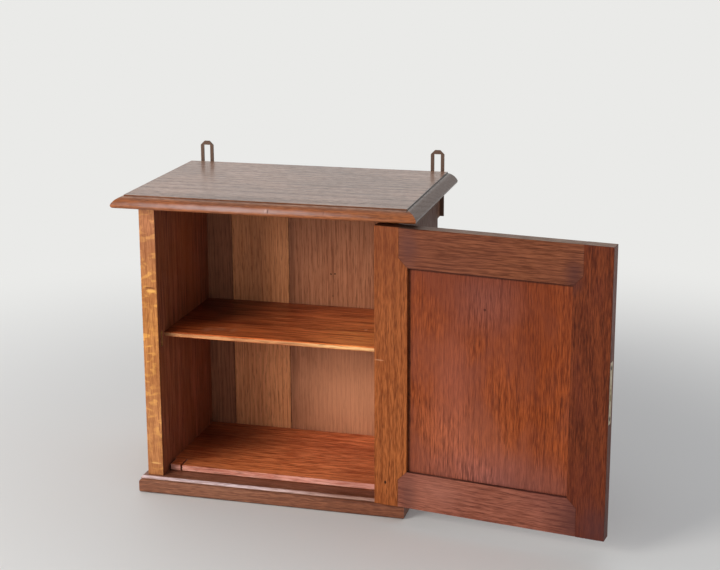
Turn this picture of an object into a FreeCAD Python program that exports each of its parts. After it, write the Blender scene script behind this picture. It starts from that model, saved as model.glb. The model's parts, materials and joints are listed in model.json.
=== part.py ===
import FreeCAD, Part
import math
import os

from FreeCAD import Vector

os.makedirs("parts", exist_ok=True)

# Small oak wall cabinet, drawn with its one door swung open.
# Millimetres. X runs to the right, Y to the back, Z up.
# The origin is the centre of the base board's underside.

# Carcass
carcass_width = 350.0
carcass_depth = 236.0
side_thickness = 22.0
side_height = 375.0
side_edge_ease = 0.8

# Base board and its moulded edge, listed from the top down
base_thickness = 23.5
base_overhang = 10.0
base_round_start = 4.2
base_round_drop = 3.8
base_round_reach = 8.0
base_round_bulge = 0.9
base_quirk_height = 0.9
base_quirk_depth = 1.2
base_bead_drop = 8.6
base_bead_bulge = 0.8
base_foot_round = 3.0
base_foot_bulge = 0.88

# Top board and its moulded edge, listed from the top down
top_thickness = 16.0
top_overhang = 27.5
top_moulding_width = 13.8
top_quirk_drop = 1.7
top_thumb_drop = 10.2
top_thumb_bulge = 1.75
top_nose_back = 0.5
top_nose_foot = 2.8
top_nose_bulge = 1.6

# Inside boards
back_recess = 29.0
back_thickness = 10.0
back_housing = 6.0
back_left_widths = (36.7, 85.3)
back_right_width = 58.0
back_seam_gap = 0.5
back_tongue_length = 4.0
back_tongue_thickness = 3.2
stop_gap = 3.0
shelf_rise = 198.0
shelf_thickness = 6.5
shelf_housing = 6.0
shelf_front_round = 2.4
floor_thickness = 8.5
floor_front_chamfer = 1.0
floor_block_inset = 2.6
floor_block_width = 13.9
floor_block_depth = 22.0
floor_block_gap = 2.6
housing_clearance = 0.1

# Wooden dowels between the sides and the two moulded boards
dowel_radius = 4.0
dowel_in_side = 16.0
dowel_in_board = 9.0
dowel_inset = 45.0

# Rails behind the carcass and the two iron hangers
rail_thickness = 16.0
rail_height = 50.8
lower_rail_rise = 18.0
hanger_overhang = 5.0
hanger_width = 19.0
hanger_thickness = 2.5
hanger_rise = 26.7
hanger_corner_clip = 5.8
hanger_slot_width = 9.5
hanger_slot_length = 30.0
hanger_slot_cover = 5.7
hanger_screw_inset = 11.0
hanger_screw_length = 34.0
rail_screw_length = 30.0

# Countersunk wood screws
screw_head_radius = 3.2
screw_head_height = 1.6
screw_shank_radius = 1.6
screw_tip_length = 3.0
screw_slot_width = 0.7
screw_slot_depth = 0.5
screw_clearance = 0.1

# Door frame and panel
door_gap = 1.9
door_gap_bottom = 3.5
door_gap_top = 3.5
door_thickness = 18.3
door_edge_ease = 0.7
hinge_stile_width = 44.6
lock_stile_width = 47.8
top_rail_width = 50.5
bottom_rail_width = 49.0
corner_mitre = 11.9
tenon_length = 20.0
tenon_shoulder = 6.0
panel_thickness = 7.0
panel_recess = 5.0
panel_housing = 7.0
panel_room = 0.6
moulding_reach = 7.0
moulding_wall = 1.8
moulding_lip_reach = 9.0
moulding_lip_depth = 1.0

# Butt hinges, and how far the door stands open
open_angle = 171.24
pin_out = 4.4
hinge_length = 50.0
hinge_inset = 40.0
leaf_margin = 2.3
leaf_thickness = 1.6
knuckle_radius = 3.6
knuckle_gap = 0.3
leaf_relief = 0.5
pin_radius = 1.8
pin_running_clearance = 0.05
pin_press_clearance = 0.02
pin_head_radius = 2.8
pin_head_height = 1.4
leaf_screw_inset = 8.0
leaf_screw_length = 14.0

# Mortise lock in the door's free stile
lock_rise = 191.0
lock_inner_set = 7.1
face_plate_height = 78.0
face_plate_width = 10.0
face_plate_thickness = 2.0
face_screw_inset = 7.0
face_screw_length = 16.0
case_screw_gap = 5.0
keyhole_margin = 4.2
case_thickness = 9.0
case_wall = 1.2
case_room = 0.2
bolt_height = 20.0
bolt_thickness = 5.0
bolt_tail_wall = 2.8
bolt_tail_room = 0.6
bolt_sink = 0.2
bolt_clearance = 0.3
bolt_travel = 7.2
strike_slack = 0.7
strike_depth = 8.0
stump_radius = 2.0
stump_set_back = 16.0
stump_clearance = 0.3

# Key, turned part way in the lock
key_off_centre = 0.9
key_drop = 4.0
key_shaft_radius = 2.2
key_hole_clearance = 0.3
key_pivot_clearance = 0.08
key_bit_reach = 8.5
key_bit_width = 2.5
key_bit_length = 4.0
key_turn = 70.0
bit_notch_width = 5.6
bit_notch_slack = 0.9
key_stem = 15.0
key_collar_radius = 3.4
key_collar_length = 2.0
key_bow_radius = 10.0
key_bow_bore = 6.0
key_bow_thickness = 3.0

# Keyhole plate on the outer face
plate_half_width = 7.0
plate_straight = 12.0
plate_thickness = 1.2
plate_pin_radius = 0.8
plate_pin_length = 7.0
keyhole_slot_width = 3.2

# Places worked out from the sizes
half_width = carcass_width / 2
inner_half = half_width - side_thickness
front_y = -(carcass_depth - base_overhang) / 2
rear_y = front_y + carcass_depth
base_top = base_thickness
top_under = base_top + side_height
top_z = top_under + top_thickness
back_rear = rear_y - back_recess
back_y = back_rear - back_thickness
stop_y = front_y + door_thickness + stop_gap
shelf_top = base_top + shelf_rise
shelf_under = shelf_top - shelf_thickness
floor_top = base_top + floor_thickness
rail_rear = rear_y + rail_thickness
upper_rail_low = top_under - rail_height
lower_rail_low = base_top + lower_rail_rise
hanger_top = top_z + hanger_rise
hanger_low = upper_rail_low
hanger_centre = half_width + hanger_overhang - hanger_width / 2

door_left = -inner_half + door_gap
door_right = inner_half - door_gap
door_front = front_y
door_inner = front_y + door_thickness
door_low = base_top + door_gap_bottom
door_high = top_under - door_gap_top
open_left = door_left + lock_stile_width
open_right = door_right - hinge_stile_width
open_low = door_low + bottom_rail_width
open_high = door_high - top_rail_width
panel_rear = door_inner - panel_recess
panel_front = panel_rear - panel_thickness
moulding_end = panel_front - moulding_wall
pin_x = inner_half - door_gap / 2
pin_y = front_y - pin_out
leaf_end = door_inner - leaf_margin

case_height = face_plate_height - 2 * (face_screw_inset + case_screw_gap)
lock_y = door_inner - lock_inner_set
lock_z = base_top + lock_rise
plate_inner_x = door_left + face_plate_thickness
key_x = door_left + lock_stile_width / 2 - key_off_centre
notch_x = key_x + bolt_travel / 2
bolt_tail_x = notch_x + bit_notch_width / 2 + bolt_tail_wall
case_end_x = bolt_tail_x + bolt_tail_room + case_wall
case_low = lock_z - case_height / 2
key_z = case_low + keyhole_margin + key_hole_clearance + key_bit_reach
bolt_low = key_z + key_drop
bolt_middle = bolt_low + bolt_height / 2

along_x = Vector(1, 0, 0)
along_y = Vector(0, 1, 0)
along_z = Vector(0, 0, 1)

# How far a cutting solid runs past the face that it opens
overrun = 5.0


def box(x0, x1, y0, y1, z0, z1):
    low = Vector(min(x0, x1), min(y0, y1), min(z0, z1))
    return Part.makeBox(abs(x1 - x0), abs(y1 - y0), abs(z1 - z0), low)


def grown_box(bounds, room):
    x0, x1, y0, y1, z0, z1 = bounds
    return box(x0 - room, x1 + room, y0 - room, y1 + room, z0 - room, z1 + room)


def prism(points, direction):
    wire = Part.makePolygon(points + [points[0]])
    return Part.Face(wire).extrude(direction)


def joined(solids):
    shape = solids[0]
    for solid in solids[1:]:
        shape = shape.fuse(solid)
    return shape.removeSplitter()


def vertical_edges(shape, y):
    found = []
    for edge in shape.Edges:
        ends = [vertex.Point for vertex in edge.Vertexes]
        if len(ends) < 2:
            continue
        upright = abs(ends[0].z - ends[1].z) > 1.0
        if upright and all(abs(end.y - y) < 1e-6 for end in ends):
            found.append(edge)
    return found


def screw(head, direction, length, room=0.0):
    shank = screw_shank_radius + room
    reach = length + room
    cone = Part.makeCone(screw_head_radius + room, shank, screw_head_height + room, head, direction)
    straight = reach - screw_tip_length
    body = Part.makeCylinder(shank, straight, head, direction)
    tip_start = head + direction * straight
    tip = Part.makeCone(shank, shank * 0.2, screw_tip_length, tip_start, direction)
    solid = joined([cone, body, tip])
    if room > 0:
        return solid
    across = along_z if abs(direction.z) < 0.5 else along_x
    side = direction.cross(across)
    corner = head - across * screw_head_radius - side * (screw_slot_width / 2)
    far = corner + across * (2 * screw_head_radius) + side * screw_slot_width
    deep = far + direction * screw_slot_depth
    slot = box(corner.x, deep.x, corner.y, deep.y, corner.z, deep.z)
    return solid.cut(slot)


def screws_and_holes(heads, direction, length):
    screws = [screw(head, direction, length) for head in heads]
    holes = [screw(head, direction, length, screw_clearance) for head in heads]
    return screws, holes


def profile_edges(points, place):
    # Each point is (outward, height, bulge of the stretch that arrives there).
    edges = []
    for (o0, z0, _), (o1, z1, bulge) in zip(points, points[1:]):
        start = place(o0, z0)
        end = place(o1, z1)
        if bulge == 0:
            edges.append(Part.makeLine(start, end))
            continue
        chord = math.hypot(o1 - o0, z1 - z0)
        middle_o = (o0 + o1) / 2 - bulge * (z1 - z0) / chord
        middle_z = (z0 + z1) / 2 + bulge * (o1 - o0) / chord
        edges.append(Part.Arc(start, place(middle_o, middle_z), end).toShape())
    return edges


def section_face(edges):
    return Part.Face(Part.Wire(Part.__sortEdges__(edges)))


def moulded_board(points, overhang):
    # The front section runs along X and the side section along Y. What they
    # share is a board with the moulding mitred round its three shown edges.
    high = points[0][1]
    low = points[-1][1]
    reach = half_width + overhang + overrun

    def at_front(outward, height):
        return Vector(-reach, front_y - outward, height)

    def at_right(outward, height):
        return Vector(half_width + outward, front_y - overhang - overrun, height)

    def at_left(outward, height):
        return Vector(-half_width - outward, front_y - overhang - overrun, height)

    edges = profile_edges(points, at_front)
    rear_low = Vector(-reach, rear_y, low)
    rear_high = Vector(-reach, rear_y, high)
    edges.append(Part.makeLine(at_front(points[-1][0], low), rear_low))
    edges.append(Part.makeLine(rear_low, rear_high))
    edges.append(Part.makeLine(rear_high, at_front(points[0][0], high)))
    front = section_face(edges).extrude(along_x * (2 * reach))

    edges = profile_edges(points, at_right) + profile_edges(points, at_left)
    edges.append(Part.makeLine(at_left(points[0][0], high), at_right(points[0][0], high)))
    edges.append(Part.makeLine(at_left(points[-1][0], low), at_right(points[-1][0], low)))
    depth = carcass_depth + overhang + 2 * overrun
    sides = section_face(edges).extrude(along_y * depth)
    return front.common(sides).removeSplitter()


def top_board():
    field = top_overhang - top_moulding_width
    nose = top_overhang - top_nose_back
    foot = top_overhang - top_nose_foot
    points = [
        (field, top_z, 0),
        (field, top_z - top_quirk_drop, 0),
        (nose, top_z - top_thumb_drop, top_thumb_bulge),
        (foot, top_under, top_nose_bulge),
    ]
    return moulded_board(points, top_overhang)


def base_board():
    round_foot = base_top - base_round_drop
    quirk_foot = round_foot - base_quirk_height
    quirk_reach = base_round_reach - base_quirk_depth
    points = [
        (base_round_start, base_top, 0),
        (base_round_reach, round_foot, base_round_bulge),
        (quirk_reach, round_foot, 0),
        (quirk_reach, quirk_foot, 0),
        (base_overhang, base_top - base_bead_drop, base_bead_bulge),
        (base_overhang, base_foot_round, 0),
        (base_overhang - base_foot_round, 0, base_foot_bulge),
    ]
    return moulded_board(points, base_overhang)


def dowels_and_holes():
    x = half_width - side_thickness / 2
    dowels = []
    holes = []
    for sign in (-1, 1):
        for y in (front_y + dowel_inset, rear_y - dowel_inset):
            for low in (base_top - dowel_in_board, top_under - dowel_in_side):
                start = Vector(sign * x, y, low)
                length = dowel_in_board + dowel_in_side
                dowels.append(Part.makeCylinder(dowel_radius, length, start, along_z))
                hole_start = start - along_z * housing_clearance
                hole_length = length + 2 * housing_clearance
                radius = dowel_radius + housing_clearance
                holes.append(Part.makeCylinder(radius, hole_length, hole_start, along_z))
    return dowels, holes


def plain_side(sign):
    side = box(sign * inner_half, sign * half_width, front_y, rear_y, base_top, top_under)
    return side.makeFillet(side_edge_ease, vertical_edges(side, front_y))


def shelf_bounds():
    reach = inner_half + shelf_housing
    return (-reach, reach, stop_y, back_y, shelf_under, shelf_top)


def front_edges_along_x(shape, y, z):
    found = []
    for edge in shape.Edges:
        ends = [vertex.Point for vertex in edge.Vertexes]
        if len(ends) == 2 and all(abs(end.y - y) < 1e-6 and abs(end.z - z) < 1e-6 for end in ends):
            found.append(edge)
    return found


def shelf_board():
    board = box(*shelf_bounds())
    board = board.makeFillet(shelf_front_round, front_edges_along_x(board, stop_y, shelf_top))
    return board.makeFillet(shelf_front_round / 2, front_edges_along_x(board, stop_y, shelf_under))


def floor_board():
    board = box(-inner_half, inner_half, stop_y, back_y, base_top, floor_top)
    lower_edge = front_edges_along_x(board, stop_y, base_top)
    board = board.makeChamfer(floor_front_chamfer, lower_edge)
    notch_right = -inner_half + floor_block_inset + floor_block_width + floor_block_gap
    notch = box(-inner_half, notch_right, stop_y - overrun, stop_y + floor_block_depth, 0, top_z)
    return board.cut(notch)


def floor_corner_block():
    left = -inner_half + floor_block_inset
    rear = stop_y + floor_block_depth
    block = box(left, left + floor_block_width, stop_y, rear, base_top, floor_top)
    lower_edge = front_edges_along_x(block, stop_y, base_top)
    return block.makeChamfer(floor_front_chamfer, lower_edge)


def back_boards():
    # Upright boards, each with a tongue that enters the next one's groove.
    left_end = -inner_half - back_housing
    right_end = inner_half + back_housing
    seams = [-inner_half]
    for width in back_left_widths:
        seams.append(seams[-1] + width)
    seams = seams[1:] + [inner_half - back_right_width]
    lefts = [left_end] + [seam + back_seam_gap / 2 for seam in seams]
    rights = [seam - back_seam_gap / 2 for seam in seams] + [right_end]
    middle = back_y + back_thickness / 2
    half_tongue = back_tongue_thickness / 2
    boards = []
    for number, (left, right) in enumerate(zip(lefts, rights)):
        board = box(left, right, back_y, back_rear, base_top, top_under)
        if number < len(lefts) - 1:
            tongue = box(right, right + back_tongue_length, middle - half_tongue,
                         middle + half_tongue, base_top, top_under)
            board = joined([board, tongue])
        if number > 0:
            room = half_tongue + housing_clearance
            groove = box(left - overrun, left + back_tongue_length, middle - room,
                         middle + room, 0, top_z)
            board = board.cut(groove)
        boards.append(board)
    return boards


def rail(low):
    return box(-half_width, half_width, rear_y, rail_rear, low, low + rail_height)


def hanger(sign):
    centre = sign * hanger_centre
    half = hanger_width / 2
    flat = half - hanger_corner_clip
    shoulder = hanger_top - hanger_corner_clip
    outline = [(-half, hanger_low), (half, hanger_low), (half, shoulder),
               (flat, hanger_top), (-flat, hanger_top), (-half, shoulder)]
    points = [Vector(centre + x, rail_rear, z) for x, z in outline]
    strip = prism(points, along_y * hanger_thickness)
    slot_top = hanger_top - hanger_slot_cover
    half_slot = hanger_slot_width / 2
    slot = box(centre - half_slot, centre + half_slot, rail_rear - overrun,
               rail_rear + hanger_thickness + overrun, slot_top - hanger_slot_length, slot_top)
    return strip.cut(slot)


def hanger_screw_heads():
    heads = []
    for sign in (-1, 1):
        for z in (hanger_low + hanger_screw_inset, upper_rail_low + rail_height - hanger_screw_inset):
            heads.append(Vector(sign * hanger_centre, rail_rear + hanger_thickness, z))
    return heads


def rail_screw_heads():
    x = half_width - side_thickness / 2
    z = lower_rail_low + rail_height / 2
    return [Vector(sign * x, rail_rear, z) for sign in (-1, 1)]


def hinge_lows():
    return {"lower": door_low + hinge_inset, "upper": door_high - hinge_inset - hinge_length}


def knuckle(low, high, bore_clearance):
    base = Vector(pin_x, pin_y, low)
    barrel = Part.makeCylinder(knuckle_radius, high - low, base, along_z)
    bore = Part.makeCylinder(pin_radius + bore_clearance, high - low, base, along_z)
    return barrel, bore


def hinge_leaf(low, face_x, grain, spans, bore_clearance):
    # face_x is the leaf's shown face, and grain is +1 or -1 into the wood.
    back_x = face_x + grain * leaf_thickness
    plate_start = pin_y + knuckle_radius + leaf_relief
    leaf = box(face_x, back_x, plate_start, leaf_end, low, low + hinge_length)
    for span_low, span_high in spans:
        barrel, bore = knuckle(span_low, span_high, bore_clearance)
        tab = box(face_x, back_x, pin_y, plate_start, span_low, span_high)
        leaf = joined([leaf, barrel, tab]).cut(bore)
    return leaf


def leaf_recess(low, face_x, grain):
    room = housing_clearance
    back_x = face_x + grain * leaf_thickness
    open_x = face_x - grain * overrun
    return box(open_x, back_x, front_y - overrun, leaf_end + room,
               low - room, low + hinge_length + room)


def leaf_screw_heads(low, face_x):
    y = (front_y + leaf_end) / 2
    high = low + hinge_length
    heights = (low + leaf_screw_inset, (low + high) / 2, high - leaf_screw_inset)
    return [Vector(face_x, y, z) for z in heights]


def knuckle_spans(low):
    third = hinge_length / 3
    half_gap = knuckle_gap / 2
    outer = [(low, low + third - half_gap), (low + 2 * third + half_gap, low + hinge_length)]
    middle = [(low + third + half_gap, low + 2 * third - half_gap)]
    return outer, middle


def hinge_pin(low):
    lower_head = Part.makeCylinder(pin_head_radius, pin_head_height,
                                   Vector(pin_x, pin_y, low - pin_head_height - knuckle_gap), along_z)
    upper_head = Part.makeCylinder(pin_head_radius, pin_head_height,
                                   Vector(pin_x, pin_y, low + hinge_length + knuckle_gap), along_z)
    shank = Part.makeCylinder(pin_radius, hinge_length + 2 * knuckle_gap,
                              Vector(pin_x, pin_y, low - knuckle_gap), along_z)
    return joined([shank, lower_head, upper_head])


def frame_piece(outline):
    points = [Vector(x, door_front, z) for x, z in outline]
    return prism(points, along_y * door_thickness)


def stile_outline(edge_x, open_x, toward_edge):
    shoulder_x = open_x + toward_edge * corner_mitre
    return [(edge_x, door_low), (edge_x, door_high), (shoulder_x, door_high),
            (shoulder_x, open_high + corner_mitre), (open_x, open_high), (open_x, open_low),
            (shoulder_x, open_low - corner_mitre), (shoulder_x, door_low)]


def rail_outline(edge_z, open_z, toward_edge):
    left = open_left - corner_mitre
    right = open_right + corner_mitre
    mitre_z = open_z + toward_edge * corner_mitre
    return [(left, edge_z), (right, edge_z), (right, mitre_z), (open_right, open_z),
            (open_left, open_z), (left, mitre_z)]


def tenon_bounds(edge_z, open_z, toward_edge):
    inner_z = open_z + toward_edge * (corner_mitre + tenon_shoulder)
    outer_z = edge_z - toward_edge * tenon_shoulder
    low_z = min(inner_z, outer_z)
    high_z = max(inner_z, outer_z)
    left = open_left - corner_mitre
    right = open_right + corner_mitre
    return [(left - tenon_length, left, panel_front, panel_rear, low_z, high_z),
            (right, right + tenon_length, panel_front, panel_rear, low_z, high_z)]


def opening_wire(y, reach):
    corners = [(open_left - reach, open_low - reach), (open_right + reach, open_low - reach),
               (open_right + reach, open_high + reach), (open_left - reach, open_high + reach)]
    points = [Vector(x, y, z) for x, z in corners]
    return Part.makePolygon(points + [points[0]])


def moulding_cutter():
    # Sloped sinking round the opening on the outer face, with a small square lip.
    slope = Part.makeLoft([opening_wire(door_front + moulding_lip_depth, moulding_reach),
                           opening_wire(moulding_end, 0)], True, True)
    lip_face = Part.Face(opening_wire(door_front - overrun, moulding_lip_reach))
    lip = lip_face.extrude(along_y * (overrun + moulding_lip_depth))
    return joined([slope, lip])


def panel_bounds():
    return (open_left - panel_housing, open_right + panel_housing, panel_front, panel_rear,
            open_low - panel_housing, open_high + panel_housing)


def panel_groove():
    x0, x1, y0, y1, z0, z1 = panel_bounds()
    room = housing_clearance
    return box(x0 - panel_room, x1 + panel_room, y0 - room, y1 + room,
               z0 - panel_room, z1 + panel_room)


def eased(piece, edge_x):
    edges = []
    for y in (door_front, door_inner):
        for edge in vertical_edges(piece, y):
            if abs(edge.Vertexes[0].Point.x - edge_x) < 1e-6:
                edges.append(edge)
    return piece.makeFillet(door_edge_ease, edges)


def eased_rail(piece, edge_z):
    edges = []
    for y in (door_front, door_inner):
        edges.extend(front_edges_along_x(piece, y, edge_z))
    return piece.makeFillet(door_edge_ease, edges)


def case_bounds():
    return (plate_inner_x, case_end_x, lock_y - case_thickness / 2, lock_y + case_thickness / 2,
            case_low, case_low + case_height)


def keyhole(y0, y1, radius):
    start = Vector(key_x, y0, key_z)
    hole = Part.makeCylinder(radius, y1 - y0, start, along_y)
    half = keyhole_slot_width / 2
    foot = key_z - key_bit_reach - key_hole_clearance
    slot = box(key_x - half, key_x + half, y0, y1, foot, key_z)
    return joined([hole, slot])


def shaft_hole(y0, y1):
    return keyhole(y0, y1, key_shaft_radius + key_hole_clearance)


def stump(y0, y1, radius):
    start = Vector(door_left + stump_set_back, y0, bolt_middle)
    return Part.makeCylinder(radius, y1 - y0, start, along_y)


def lock_case():
    # An open tray whose back wall faces the inside of the cabinet.
    x0, x1, y0, y1, z0, z1 = case_bounds()
    outer = box(x0, x1, y0 + case_wall, y1, z0, z1)
    inner = box(x0 - overrun, x1 - case_wall, y0, y1 - case_wall, z0 + case_wall, z1 - case_wall)
    tray = joined([outer.cut(inner), stump(y0 + case_wall, y1, stump_radius)])
    pivot_radius = key_shaft_radius + key_pivot_clearance
    pivot = Part.makeCylinder(pivot_radius, case_thickness, Vector(key_x, y0, key_z), along_y)
    return tray.cut(pivot)


def lock_cap():
    x0, x1, y0, y1, z0, z1 = case_bounds()
    cap = box(x0, x1, y0, y0 + case_wall, z0, z1)
    return cap.cut(shaft_hole(y0 - overrun, y0 + overrun))


def bolt_bounds(room):
    return (door_left - overrun, plate_inner_x + overrun, lock_y - bolt_thickness / 2 - room,
            lock_y + bolt_thickness / 2 + room, bolt_low - room, bolt_low + bolt_height + room)


def face_plate():
    half_width_y = face_plate_width / 2
    half_height = face_plate_height / 2
    plate = box(door_left, plate_inner_x, lock_y - half_width_y, lock_y + half_width_y,
                lock_z - half_height, lock_z + half_height)
    return plate.cut(box(*bolt_bounds(bolt_clearance)))


def face_screw_heads():
    half = face_plate_height / 2 - face_screw_inset
    return [Vector(door_left, lock_y, lock_z + step * half) for step in (-1, 1)]


def lock_bolt():
    start = door_left + bolt_sink
    half = bolt_thickness / 2
    bar = box(start, bolt_tail_x, lock_y - half, lock_y + half, bolt_low, bolt_low + bolt_height)
    half_notch = bit_notch_width / 2
    notch_top = key_z + key_bit_reach + bit_notch_slack
    notch = box(notch_x - half_notch, notch_x + half_notch, lock_y - overrun,
                lock_y + overrun, bolt_low - overrun, notch_top)
    slot_start = stump(lock_y - overrun, lock_y + overrun, stump_radius + stump_clearance)
    slot_end = slot_start.translated(along_x * bolt_travel)
    slot_x = door_left + stump_set_back
    half_slot = stump_radius + stump_clearance
    slot_run = box(slot_x, slot_x + bolt_travel, lock_y - overrun, lock_y + overrun,
                   bolt_middle - half_slot, bolt_middle + half_slot)
    return bar.cut(notch).cut(joined([slot_start, slot_end, slot_run]))


def key():
    # Built with its bit upright, then turned about its own shaft.
    case_rear = lock_y + case_thickness / 2
    stem_end = door_front - plate_thickness - key_stem
    shaft_start = Vector(key_x, stem_end, key_z)
    shaft = Part.makeCylinder(key_shaft_radius, case_rear - stem_end, shaft_start, along_y)
    half_bit = key_bit_width / 2
    half_length = key_bit_length / 2
    bit = box(key_x - half_bit, key_x + half_bit, lock_y - half_length, lock_y + half_length,
              key_z, key_z + key_bit_reach)
    collar_y = door_front - plate_thickness - key_hole_clearance - key_collar_length
    collar = Part.makeCylinder(key_collar_radius, key_collar_length,
                               Vector(key_x, collar_y, key_z), along_y)
    bow_centre = stem_end - key_bow_bore
    bow_start = Vector(key_x - key_bow_thickness / 2, bow_centre, key_z)
    bow = Part.makeCylinder(key_bow_radius, key_bow_thickness, bow_start, along_x)
    bow = bow.cut(Part.makeCylinder(key_bow_bore, key_bow_thickness, bow_start, along_x))
    whole = joined([shaft, bit, collar, bow])
    whole.rotate(Vector(key_x, 0, key_z), along_y, key_turn / 2)
    return whole


def plate_outline(y0, y1):
    rise = plate_straight / 2
    depth = y1 - y0
    ends = [Part.makeCylinder(plate_half_width, depth, Vector(key_x, y0, key_z + step), along_y)
            for step in (-rise, rise)]
    middle = box(key_x - plate_half_width, key_x + plate_half_width, y0, y1,
                 key_z - rise, key_z + rise)
    return joined(ends + [middle])


def plate_pins(room):
    reach = plate_straight / 2 + plate_half_width / 2
    start_y = door_front - plate_thickness
    pins = []
    for step in (-1, 1):
        start = Vector(key_x, start_y, key_z + step * reach)
        pins.append(Part.makeCylinder(plate_pin_radius + room, plate_pin_length + room, start, along_y))
    return pins


def strike_slot():
    y0 = lock_y - bolt_thickness / 2 - strike_slack
    y1 = lock_y + bolt_thickness / 2 + strike_slack
    low = bolt_low - strike_slack
    high = bolt_low + bolt_height + strike_slack
    return box(-inner_half - strike_depth, -inner_half + overrun, y0, y1, low, high)


def swung(shape):
    # Turns a piece of the closed door to the angle where the door stands open.
    turned = shape.copy()
    turned.rotate(Vector(pin_x, pin_y, 0), along_z, open_angle)
    return turned


def carcass_pieces():
    dowels, dowel_holes = dowels_and_holes()
    hanger_screws, hanger_holes = screws_and_holes(hanger_screw_heads(), along_y * -1, hanger_screw_length)
    rail_screws, rail_holes = screws_and_holes(rail_screw_heads(), along_y * -1, rail_screw_length)
    case_heads = []
    for low in hinge_lows().values():
        case_heads.extend(leaf_screw_heads(low, inner_half))
    case_screws, case_holes = screws_and_holes(case_heads, along_x, leaf_screw_length)

    back_room = grown_box((-inner_half - back_housing, inner_half + back_housing, back_y, back_rear,
                           base_top, top_under), housing_clearance)
    shelf_room = grown_box(shelf_bounds(), housing_clearance)
    shared_cuts = [back_room, shelf_room] + dowel_holes + hanger_holes + rail_holes
    leaf_rooms = [leaf_recess(low, inner_half, 1) for low in hinge_lows().values()]

    pieces = {
        "top_board": top_board().cut(dowel_holes),
        "base_board": base_board().cut(dowel_holes),
        "left_side": plain_side(-1).cut(shared_cuts + [strike_slot()]),
        "right_side": plain_side(1).cut(shared_cuts + leaf_rooms + case_holes),
        "shelf_board": shelf_board(),
        "floor_board": floor_board(),
        "floor_corner_block": floor_corner_block(),
        "upper_rear_rail": rail(upper_rail_low).cut(hanger_holes),
        "lower_rear_rail": rail(lower_rail_low).cut(rail_holes),
        "hanger_left": hanger(-1).cut(hanger_holes),
        "hanger_right": hanger(1).cut(hanger_holes),
        "hanger_screws": Part.makeCompound(hanger_screws),
        "rear_rail_screws": Part.makeCompound(rail_screws),
        "case_dowels": Part.makeCompound(dowels),
        "hinge_case_screws": Part.makeCompound(case_screws),
    }
    for number, board in enumerate(back_boards(), start=1):
        pieces["back_board_%d" % number] = board
    for name, low in hinge_lows().items():
        outer, middle = knuckle_spans(low)
        leaf = hinge_leaf(low, inner_half, 1, outer, pin_running_clearance)
        pieces[name + "_hinge_case_leaf"] = leaf.cut(case_holes)
    return pieces


def door_pieces():
    groove = panel_groove()
    sinking = moulding_cutter()
    top_tenons = tenon_bounds(door_high, open_high, 1)
    bottom_tenons = tenon_bounds(door_low, open_low, -1)
    mortises = [grown_box(bounds, housing_clearance) for bounds in top_tenons + bottom_tenons]

    door_heads = []
    for low in hinge_lows().values():
        door_heads.extend(leaf_screw_heads(low, door_right))
    leaf_screws, leaf_holes = screws_and_holes(door_heads, along_x * -1, leaf_screw_length)
    face_screws, face_holes = screws_and_holes(face_screw_heads(), along_x, face_screw_length)
    leaf_rooms = [leaf_recess(low, door_right, -1) for low in hinge_lows().values()]

    hinge_stile = eased(frame_piece(stile_outline(door_right, open_right, 1)), door_right)
    hinge_stile = hinge_stile.cut(mortises + [groove, sinking] + leaf_rooms + leaf_holes)

    plate = face_plate().cut(face_holes)
    x0, x1, y0, y1, z0, z1 = case_bounds()
    case_room_box = box(x0 - overrun, x1 + case_room, y0 - case_room, y1 + case_room,
                        z0 - case_room, z1 + case_room)
    half_height = face_plate_height / 2 + housing_clearance
    half_plate = face_plate_width / 2 + housing_clearance
    plate_room = box(door_left - overrun, plate_inner_x, lock_y - half_plate, lock_y + half_plate,
                     lock_z - half_height, lock_z + half_height)
    front_hole = shaft_hole(door_front - overrun, lock_y)
    lock_cuts = [case_room_box, plate_room, front_hole] + face_holes + plate_pins(housing_clearance)
    lock_stile = eased(frame_piece(stile_outline(door_left, open_left, -1)), door_left)
    lock_stile = lock_stile.cut(mortises + [groove, sinking] + lock_cuts)

    top_rail = eased_rail(frame_piece(rail_outline(door_high, open_high, 1)), door_high)
    top_rail = joined([top_rail] + [box(*bounds) for bounds in top_tenons])
    bottom_rail = eased_rail(frame_piece(rail_outline(door_low, open_low, -1)), door_low)
    bottom_rail = joined([bottom_rail] + [box(*bounds) for bounds in bottom_tenons])

    keyhole_plate = plate_outline(door_front - plate_thickness, door_front)
    keyhole_plate = keyhole_plate.cut([front_hole] + plate_pins(housing_clearance))

    pieces = {
        "door_hinge_stile": hinge_stile,
        "door_lock_stile": lock_stile,
        "door_top_rail": top_rail.cut([groove, sinking]),
        "door_bottom_rail": bottom_rail.cut([groove, sinking]),
        "door_panel": box(*panel_bounds()),
        "hinge_door_screws": Part.makeCompound(leaf_screws),
        "lock_case": lock_case(),
        "lock_cap": lock_cap(),
        "lock_face_plate": plate,
        "lock_face_screws": Part.makeCompound(face_screws),
        "lock_bolt": lock_bolt(),
        "key": key(),
        "keyhole_plate": keyhole_plate,
        "keyhole_plate_pins": Part.makeCompound(plate_pins(0.0)),
    }
    for name, low in hinge_lows().items():
        outer, middle = knuckle_spans(low)
        leaf = hinge_leaf(low, door_right, -1, middle, pin_press_clearance)
        pieces[name + "_hinge_door_leaf"] = leaf.cut(leaf_holes)
        pieces[name + "_hinge_pin"] = hinge_pin(low)
    return {name: swung(shape) for name, shape in pieces.items()}


def main():
    pieces = carcass_pieces()
    pieces.update(door_pieces())
    for name, shape in pieces.items():
        solids = len(shape.Solids)
        print("%-24s solids %2d  volume %10.1f  valid %s" % (name, solids, shape.Volume, shape.isValid()))
        shape.exportStep("parts/%s.step" % name)


main()
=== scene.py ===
import json
import math

import bpy
from mathutils import Matrix, Vector


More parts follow.
